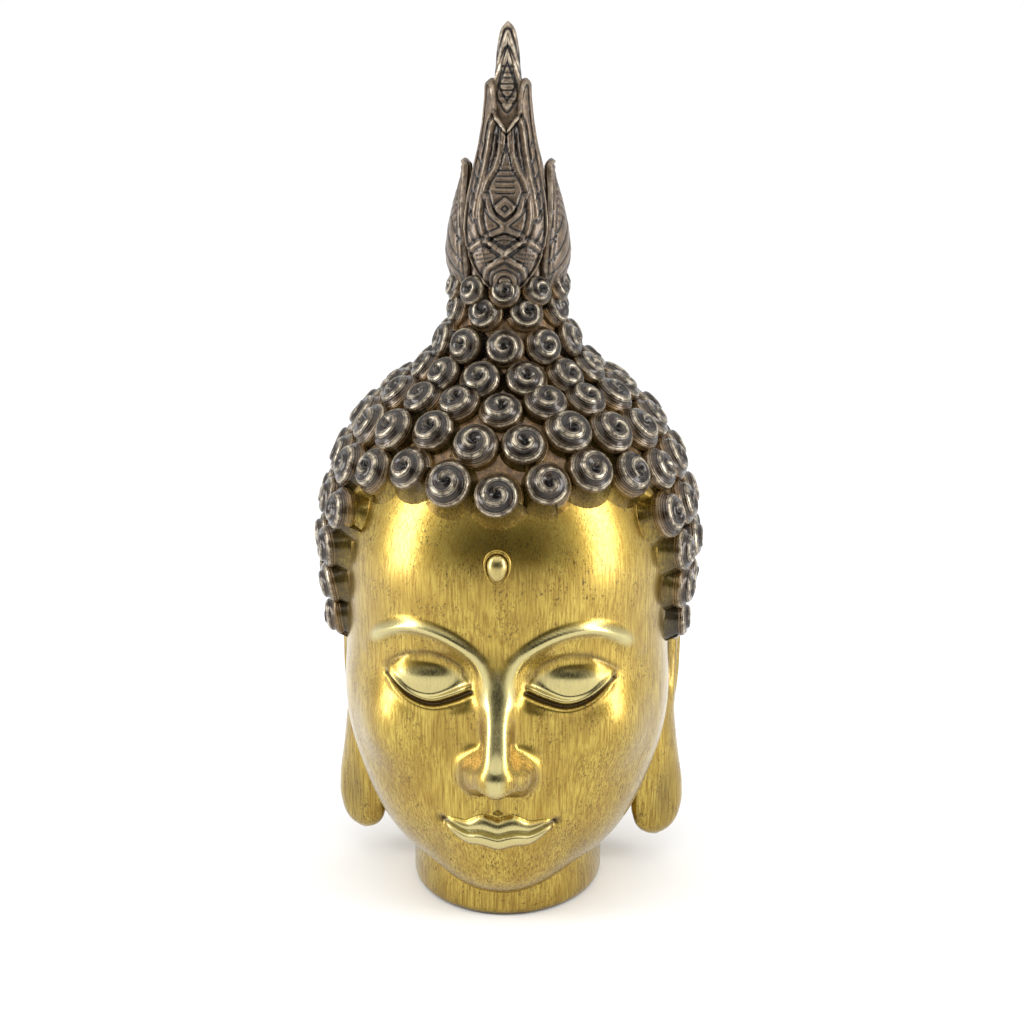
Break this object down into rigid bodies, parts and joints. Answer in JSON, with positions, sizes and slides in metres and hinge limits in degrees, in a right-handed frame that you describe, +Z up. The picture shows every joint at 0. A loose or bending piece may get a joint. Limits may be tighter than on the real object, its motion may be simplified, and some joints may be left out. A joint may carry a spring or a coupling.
{
  "type": "resin buddha head",
  "caption": "Gilt cast head with snail-shell curls, a leafed flame finial and long ear lobes, standing on its neck.",
  "frame": {"origin": "middle of the neck's flat underside", "axes": "+Z up to the tip of the flame, the face looks towards -Y, +X to its left"},
  "size_m": [0.1804, 0.1934, 0.4],
  "materials": {
    "gilt_resin": "gilded resin with dark patina in the hair"
  },
  "bodies": {
    "root": {"buddha_head": "gilt_resin"}
  },
  "joints": []
}
